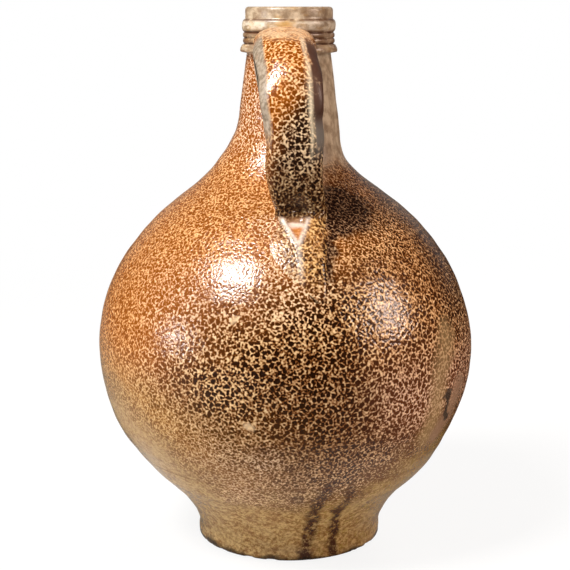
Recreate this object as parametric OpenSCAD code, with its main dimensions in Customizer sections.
// Bearded stoneware jug: a globular body thrown in one piece with its foot, neck and reeded collar,
// a strap handle luted on behind, and two moulded sprigs pressed on in front, a bearded mask on the
// neck and a rosette medallion on the belly.
// Millimetres, +Z up, origin at the middle of the foot. The mask faces -Y and the handle is at +Y.

/* [Foot and belly] */
// Radius of the edge that the jug stands on
foot_r = 37.8; // [34:0.1:41]
// Bevel worn on that edge
foot_bevel = 0.9; // [0.5:0.1:1.5]
// Radius of the waist above the foot's edge
waist_r = 37.4; // [34:0.1:40]
// Height of that waist
waist_z = 5.5; // [4:0.5:8]
// Height of the belly's widest place
belly_z = 81.5; // [74:0.5:90]
// Radius of the belly at its widest
belly_r = 75.5; // [68:0.5:84]
// Fullness of the belly's curve, where 2 is an ellipse and less is more conical
belly_round = 1.85; // [1.7:0.05:2.1]
// How far below the widest place the belly turns into the foot's flare
flare_down = 50; // [45:0.5:56]
// Radius of the belly there
flare_r = 56.2; // [52:0.1:60]
// How far above the widest place the belly turns into the shoulder's sweep
shoulder_up = 56.5; // [51:0.5:62]
// Radius of the belly there
shoulder_r = 45; // [41:0.1:49]

/* [Neck and collar] */
// Height of the sweep from the shoulder to the neck's root
sweep_h = 35.5; // [32:0.5:40]
// Radius of the neck at its root
neck_root_r = 19.4; // [18:0.1:21]
// Length of the neck from its root to the collar
neck_h = 23.7; // [21:0.1:28]
// Radius of the neck under the collar
neck_top_r = 16.2; // [15.5:0.1:17]
// Crest radius of the collar's lowest reed
low_reed_r = 18.8; // [18.2:0.1:20]
// Height of the lowest reed
low_reed_h = 5.4; // [4:0.1:7]
// Crest radius of the two fine reeds
fine_reed_r = 17.75; // [17.4:0.05:18.4]
// Height of each fine reed
fine_reed_h = 2.1; // [1.5:0.1:3]
// Crest radius of the upper reed
upper_reed_r = 18.1; // [17.6:0.1:18.8]
// Height of the upper reed
upper_reed_h = 3.6; // [2.5:0.1:5]
// Radius at the bottom of the grooves between the reeds
groove_r = 17.15; // [16.9:0.05:17.3]
// Radius of the plain band under the rim
band_r = 16.9; // [16.4:0.1:17.2]
// Height of the plain band
band_h = 4.6; // [3.5:0.1:6]
// Rounding of the rim's two edges
rim_round = 1.4; // [0.8:0.1:2]

/* [Inside] */
// Wall of the belly
wall = 5; // [4:0.1:6.5]
// Thickness of the base
base_t = 8; // [6:0.5:11]
// Rounding between the base and the wall inside
floor_round = 9; // [6:0.5:12]
// Radius of the bore through the neck
bore_r = 12; // [10.5:0.1:13]
// How far below the neck's root the bore opens into the belly
bore_down = 11; // [8:0.5:14]

/* [Handle] */
// Width of the strap
strap_w = 21; // [17:0.5:25]
// Thickness of the strap
strap_t = 8.6; // [7:0.1:10]
// How far below the rim the strap's middle leaves the collar
spring_down = 13; // [10:0.5:15]
// Distance of the strap's middle from the neck's axis at its furthest
strap_reach = 46.5; // [42:0.5:52]
// How far below the rim the strap reaches furthest
elbow_down = 36; // [30:0.5:42]
// How far below the start of the shoulder's sweep the strap lands
landing_down = 1; // [-3:0.5:5]
// Height of the tail from the landing down to its tip
tail_h = 22; // [16:0.5:28]
// Width of the tail at its tip
tail_w = 5; // [3.5:0.5:8]
// Thickness of the tail at its tip
tail_t = 1.4; // [1:0.1:2.4]
// Depth of the thumb's hollow at the landing
thumb = 2.4; // [1:0.1:3]
// Depth of the hollow along the strap's outer face
dish = 0.5; // [0:0.1:1]
// Turn of the handle about the jug's axis at the collar, in degrees
lean_top = -4.5; // [-8:0.5:8]
// Turn of the handle about the jug's axis at the landing
lean_landing = 1.5; // [-8:0.5:8]
// Turn of the handle about the jug's axis at the tail's tip
lean_tail = 6.3; // [-9:0.1:9]

/* [Mask] */
// Height of the mask from beard to hair
mask_h = 45; // [38:0.5:50]
// Width of the mask round the neck
mask_w = 30; // [25:0.5:34]
// Gap between the hair and the collar
mask_gap = 3.5; // [2:0.5:6]
// Height of the mask's forms above the neck
mask_relief = 3.4; // [2:0.1:4.5]

/* [Medallion] */
// Height of the oval medallion
medal_h = 46; // [38:0.5:54]
// Width of the oval medallion
medal_w = 38; // [32:0.5:46]
// How far above the belly's widest place its middle is
medal_up = 2; // [-6:0.5:12]
// Height of its border and petals above its field
medal_relief = 1.6; // [0.8:0.1:2.4]
// Number of beads in its border
beads = 24; // [16:2:36]
// Number of petals in its rosette
petals = 8; // [5:1:12]

/* [Luting] */
// Thickness of the slip that holds each added piece on
slip = 0.1; // [0.05:0.01:0.2]
// Thickness of a sprig at its thin edge
sprig_edge = 0.8; // [0.5:0.1:1.2]

/* [Hidden] */
turn_fn = 180;

// Heights, each stacked on the one below
flare_z = belly_z - flare_down;
shoulder_z = belly_z + shoulder_up;
neck_root_z = shoulder_z + sweep_h;
collar_z = neck_root_z + neck_h;
fine_reed_z = collar_z + low_reed_h;
upper_reed_z = fine_reed_z + 2 * fine_reed_h;
band_z = upper_reed_z + upper_reed_h;
jug_h = band_z + band_h;

// General curves
function mix(a, b, t) = a + (b - a) * t;
function smooth(a, b, x) = let (t = min(max((x - a) / (b - a), 0), 1)) t * t * (3 - 2 * t);
function bell(x, width) = exp(-pow(x / width, 2));
function unit(v) = v / norm(v);
function bezier(a, b, c, d, t) =
    pow(1 - t, 3) * a + 3 * t * pow(1 - t, 2) * b + 3 * t * t * (1 - t) * c + pow(t, 3) * d;
function bezier_run(a, b, c, d, n) = [for (i = [0:n]) bezier(a, b, c, d, i / n)];
function arc_run(centre, r, from, to, n) = [
    for (i = [0:n])
        let (a = mix(from, to, i / n))
        centre + r * [cos(a), sin(a)]];

// The belly is a superellipse that passes through its own radius at the flare and at the shoulder.
function belly_reach(away, r) = away / pow(1 - pow(r / belly_r, belly_round), 1 / belly_round);
reach_down = belly_reach(flare_down, flare_r);
reach_up = belly_reach(shoulder_up, shoulder_r);
function belly_point(z) =
    let (away = z < belly_z ? (belly_z - z) / reach_down : (z - belly_z) / reach_up)
    [belly_r * pow(1 - pow(away, belly_round), 1 / belly_round), z];
function belly_heading(z) = unit(belly_point(z + 0.05) - belly_point(z - 0.05));

// Outline of the outside from the foot's edge up to the collar, as points of radius and height
waist_pull = 0.42 * (flare_z - waist_z);
flare_pull = 0.2 * (flare_z - waist_z);
shoulder_pull = 0.62 * sweep_h;
neck_pull = 0.58 * sweep_h;
neck_root = [neck_root_r, neck_root_z];
neck_heading = unit([neck_top_r - neck_root_r, neck_h]);
flare_run = bezier_run(
    [waist_r, waist_z],
    [waist_r, waist_z + waist_pull],
    belly_point(flare_z) - flare_pull * belly_heading(flare_z),
    belly_point(flare_z), 10);
belly_steps = 44;
belly_run = [
    for (i = [1:belly_steps - 1])
        belly_point(mix(flare_z, shoulder_z, i / belly_steps))];
sweep_run = bezier_run(
    belly_point(shoulder_z),
    belly_point(shoulder_z) + shoulder_pull * belly_heading(shoulder_z),
    neck_root - neck_pull * neck_heading,
    neck_root, 16);
foot_run = [[foot_r - foot_bevel, 0], [foot_r, foot_bevel]];
outline = concat(foot_run, flare_run, belly_run, sweep_run, [[neck_top_r, collar_z]]);

// Radius of the outside at a height below the collar, and the way down and out along it
outline_by_z = [for (p = outline) [p[1], p[0]]];
slope_step = 1.2;
function outside(z) = [lookup(z, outline_by_z), z];
function outside_down(z) = unit(outside(z - slope_step) - outside(z + slope_step));
function outside_out(z) = let (d = outside_down(z)) [-d[1], d[0]];

// The collar is a stack of rounded reeds, each between two groove radii, under a plain band.
// A skew under 1 brings a reed's crest down.
reed_steps = 8;
function reed(z, h, crest, below, above, skew = 1) = [
    for (i = [1:reed_steps])
        let (t = i / reed_steps)
        let (root = mix(below, above, t))
        let (swell = sqrt(max(1 - pow(2 * pow(t, skew) - 1, 2), 0)))
        [mix(root, crest, swell), z + h * t]];
low_skew = 0.6;
rim_in = [bore_r + rim_round, jug_h - rim_round];
rim_out = [band_r - rim_round, jug_h - rim_round];
collar_run = concat(
    reed(collar_z, low_reed_h, low_reed_r, neck_top_r, groove_r, low_skew),
    reed(fine_reed_z, fine_reed_h, fine_reed_r, groove_r, groove_r),
    reed(fine_reed_z + fine_reed_h, fine_reed_h, fine_reed_r, groove_r, groove_r),
    reed(upper_reed_z, upper_reed_h, upper_reed_r, groove_r, band_r),
    arc_run(rim_out, rim_round, 0, 90, 4));

// The inside follows the outside a wall's thickness away, from a rounded floor up to the bore.
inner_shoulder = outside(shoulder_z) - wall * outside_out(shoulder_z);
inner_belly = [
    for (p = concat(flare_run, belly_run))
        p - wall * outside_out(p[1])];
inner_by_z = [for (p = inner_belly) [p[1], p[0]]];
floor_top = base_t + floor_round;
floor_r = lookup(floor_top, inner_by_z) - floor_round;
bore_z = neck_root_z - bore_down;
bore_pull = 0.5 * (bore_z - inner_shoulder[1]);
inside_run = concat(
    [[0, base_t]],
    arc_run([floor_r, floor_top], floor_round, -90, 0, 6),
    [for (p = inner_belly) if (p[1] > floor_top + 1 && p[1] < inner_shoulder[1] - 1) p],
    bezier_run(
        inner_shoulder,
        inner_shoulder - bore_pull * outside_down(shoulder_z),
        [bore_r, bore_z - bore_pull],
        [bore_r, bore_z], 10));

module jug_body() {
    color("peru")
        rotate_extrude($fn = turn_fn)
            polygon(concat(
                [[0, 0]], outline, collar_run,
                arc_run(rim_in, rim_round, 90, 180, 4),
                [for (i = [len(inside_run) - 1:-1:0]) inside_run[i]]));
}

// The space that the thrown body takes up, with its slip, cut from whatever is luted on
module body_seat() {
    rotate_extrude($fn = turn_fn)
        polygon(concat(
            [[0, 0]],
            [for (p = concat(outline, collar_run)) p + [slip, 0]],
            [[0, jug_h]]));
}

// A closed skin over rows of points, each row a ring, with both ends closed by fans
module ring_skin(rings) {
    n = len(rings[0]);
    last = len(rings) - 1;
    sides = [
        for (i = [0:last - 1], j = [0:n - 1])
            let (a = i * n + j)
            let (b = i * n + (j + 1) % n)
            for (f = [[a, a + n, b], [b, a + n, b + n]]) f];
    first_end = [for (j = [1:n - 2]) [0, j, j + 1]];
    last_end = [for (j = [1:n - 2]) [last * n, last * n + j + 1, last * n + j]];
    polyhedron([for (ring = rings) each ring], concat(sides, first_end, last_end), convexity = 8);
}

// The strap handle: stations of its middle line as [point, heading, share of the tail, lean]
strap_steps = 15;
tail_steps = 16;
buried_r = bore_r / 2;
seat_lift = 0.3;
landing_z = shoulder_z - landing_down;
spring_point = [buried_r, jug_h - spring_down];
elbow = [strap_reach, jug_h - elbow_down];
landing = outside(landing_z) + seat_lift * strap_t * outside_out(landing_z);
spring_pull = 0.62 * (strap_reach - buried_r);
elbow_pull = 0.62 * (elbow_down - spring_down);
fall_pull = 0.4 * (elbow[1] - landing[1]);
landing_pull = 0.26 * (elbow[1] - landing[1]);
strap_line = concat(
    bezier_run(
        spring_point, spring_point + [spring_pull, 0],
        elbow + [0, elbow_pull], elbow, strap_steps),
    [for (i = [1:strap_steps])
        bezier(
            elbow, elbow - [0, fall_pull],
            landing - landing_pull * outside_down(landing_z), landing, i / strap_steps)]);
tail_line = [
    for (i = [1:tail_steps])
        let (s = i / tail_steps)
        let (z = landing_z - tail_h * s)
        outside(z) + seat_lift * handle_t(s) * outside_out(z)];
handle_line = concat(strap_line, tail_line);
landing_i = len(strap_line) - 1;
tip_i = len(handle_line) - 1;

function tail_share(i) = max(i - landing_i, 0) / tail_steps;
function handle_t(s) = mix(strap_t, tail_t, pow(s, 0.7));
function handle_w(s) = mix(strap_w, tail_w, smooth(0, 1, s));
function handle_lean(i) =
    i < landing_i
        ? mix(lean_top, lean_landing, pow(i / landing_i, 2))
        : mix(lean_landing, lean_tail, tail_share(i));
function handle_heading(i) = unit(handle_line[min(i + 1, tip_i)] - handle_line[max(i - 1, 0)]);

// A strap's section is a rounded oblong, hollowed along its outer face, with the thumb's press.
section_sides = 24;
section_square = 0.62;
thumb_reach = 2.2;
thumb_half_w = 0.3;
function rounded(x) = sign(x) * pow(abs(x), section_square);
function handle_ring(i) =
    let (s = tail_share(i), w = handle_w(s), t = handle_t(s), lean = handle_lean(i))
    let (p = handle_line[i], h = handle_heading(i), out = [-h[1], h[0]])
    let (press = dish * (1 - s) + thumb * bell(i - landing_i + 1, thumb_reach))
    [for (j = [0:section_sides - 1])
        let (a = -360 * j / section_sides)
        let (across = w / 2 * rounded(cos(a)))
        let (hollow = sin(a) > 0 ? press * bell(across, thumb_half_w * w) : 0)
        let (q = p + (t / 2 * rounded(sin(a)) - hollow) * out)
        [across * cos(lean) - q[0] * sin(lean), across * sin(lean) + q[0] * cos(lean), q[1]]];

module strap_handle() {
    color("sienna")
        difference() {
            ring_skin([for (i = [0:tip_i]) handle_ring(i)]);
            body_seat();
        }
}

// A point at a height on the jug's front, turned by an angle from -Y, and raised off the surface
function on_front(turn, z, raise) =
    let (p = outside(z) + raise * outside_out(z))
    [p[0] * sin(turn), -p[0] * cos(turn), p[1]];

// The mask's outline and relief, with x across from -1 to 1 and y up from -1 to 1
mask_cols = 40;
mask_rows = 54;
mask_z = collar_z - mask_gap - mask_h / 2;
mask_span = 0.985;
function mask_half_w(y) = mask_w / 2 * pow(1 - pow(abs(y), 3.2), 0.5) * (1 - 0.08 * smooth(0, 1, y));
function pair(x, y, at_x, at_y, wide, high) = bell(abs(x) - at_x, wide) * bell(y - at_y, high);
function nose(x, y) =
    let (t = smooth(0.46, 0.08, y))
    mix(0.3, 1, t) * bell(x, mix(0.1, 0.15, t)) * smooth(0, 0.09, y) * smooth(0.58, 0.44, y)
    + 0.45 * pair(x, y, 0.17, 0.1, 0.08, 0.05);
function eyes(x, y) =
    0.42 * pair(x, y, 0.36, 0.37, 0.15, 0.05) - 0.34 * pair(x, y, 0.36, 0.37, 0.26, 0.09)
    + 0.38 * bell(y - 0.52 + 0.5 * pow(abs(x) - 0.34, 2), 0.05) * bell(abs(x) - 0.36, 0.24);
function mouth(x, y) =
    0.55 * bell(y - 0.01 + 0.42 * pow(abs(x), 1.4), 0.06) * smooth(0.72, 0.4, abs(x))
    - 0.2 * bell(x, 0.2) * bell(y + 0.13, 0.03)
    + 0.32 * bell(x, 0.2) * bell(y + 0.2, 0.04);
function locks(x, y, count, curl) = 0.5 + 0.5 * cos(360 * (count * x + curl * sin(250 * y)));
function beard(x, y) =
    let (grows = max(smooth(-0.16, -0.34, y), smooth(0.62, 0.78, abs(x)) * smooth(0.3, 0.1, y)))
    grows * (0.42 + 0.26 * locks(x, y, 3.5, 0.3));
function hair(x, y) =
    let (grows = max(smooth(0.7, 0.8, y + 0.12 * x * x), smooth(0.8, 0.92, abs(x)) * smooth(0.2, 0.4, y)))
    grows * (0.3 + 0.26 * locks(x, y, 4.5, 0.15));
function mask_raise(x, y) =
    let (edge = smooth(1, 0.82, abs(x)) * smooth(1, 0.92, abs(y)))
    let (face = 0.55 * bell(x, 0.72) * bell(y - 0.25, 0.55) + 0.2 * pair(x, y, 0.5, 0.14, 0.2, 0.13))
    sprig_edge + mask_relief * edge
        * max(face + nose(x, y) + eyes(x, y) + mouth(x, y) + beard(x, y) + hair(x, y), 0);
function mask_point(x, y) =
    let (z = mask_z + y * mask_h / 2)
    let (turn = x * mask_half_w(y) / outside(z)[0] * 180 / PI)
    on_front(turn, z, mask_raise(x, y));

module bearded_mask() {
    rows = [
        for (i = [0:mask_rows])
            let (y = mask_span * (2 * i / mask_rows - 1))
            concat(
                [for (j = [0:mask_cols]) mask_point(2 * j / mask_cols - 1, y)],
                [[0, 0, mask_z + y * mask_h / 2]])];
    color("burlywood")
        difference() {
            ring_skin(rows);
            body_seat();
        }
}

// The medallion's relief, with a share of its radius from 0 to 1 and an angle
medal_sides = 96;
medal_rings = 18;
medal_z = belly_z + medal_up;
function medal_raise(share, angle) =
    let (border = bell(share - 0.92, 0.05))
    let (beading = 0.7 * bell(share - 0.75, 0.06) * (0.5 + 0.5 * cos(beads * angle)))
    let (petal = 0.35 + 0.65 * pow(abs(cos(petals * angle / 2)), 0.7))
    let (rosette = smooth(0.62 * petal, 0.62 * petal - 0.1, share) * smooth(0.1, 0.24, share))
    let (boss = bell(share, 0.12))
    sprig_edge + medal_relief * smooth(1, 0.95, share) * max(border, beading, 0.8 * rosette, boss);
function medal_point(share, angle) =
    let (z = medal_z + medal_h / 2 * share * sin(angle))
    let (turn = asin(medal_w / 2 * share * cos(angle) / outside(z)[0]))
    on_front(turn, z, medal_raise(share, angle));

module belly_medallion() {
    inside_r = (belly_r - wall) / 2;
    rings = [
        for (k = [0:medal_rings])
            let (share = (k + 0.25) / (medal_rings + 0.25))
            [for (j = [0:medal_sides - 1]) medal_point(share, -360 * j / medal_sides)]];
    root = [
        for (j = [0:medal_sides - 1])
            let (p = rings[medal_rings][j])
            [p[0] * inside_r / belly_r, p[1] * inside_r / belly_r, p[2]]];
    color("tan")
        difference() {
            ring_skin(concat(rings, [root]));
            body_seat();
        }
}

jug_body();
strap_handle();
bearded_mask();
belly_medallion();
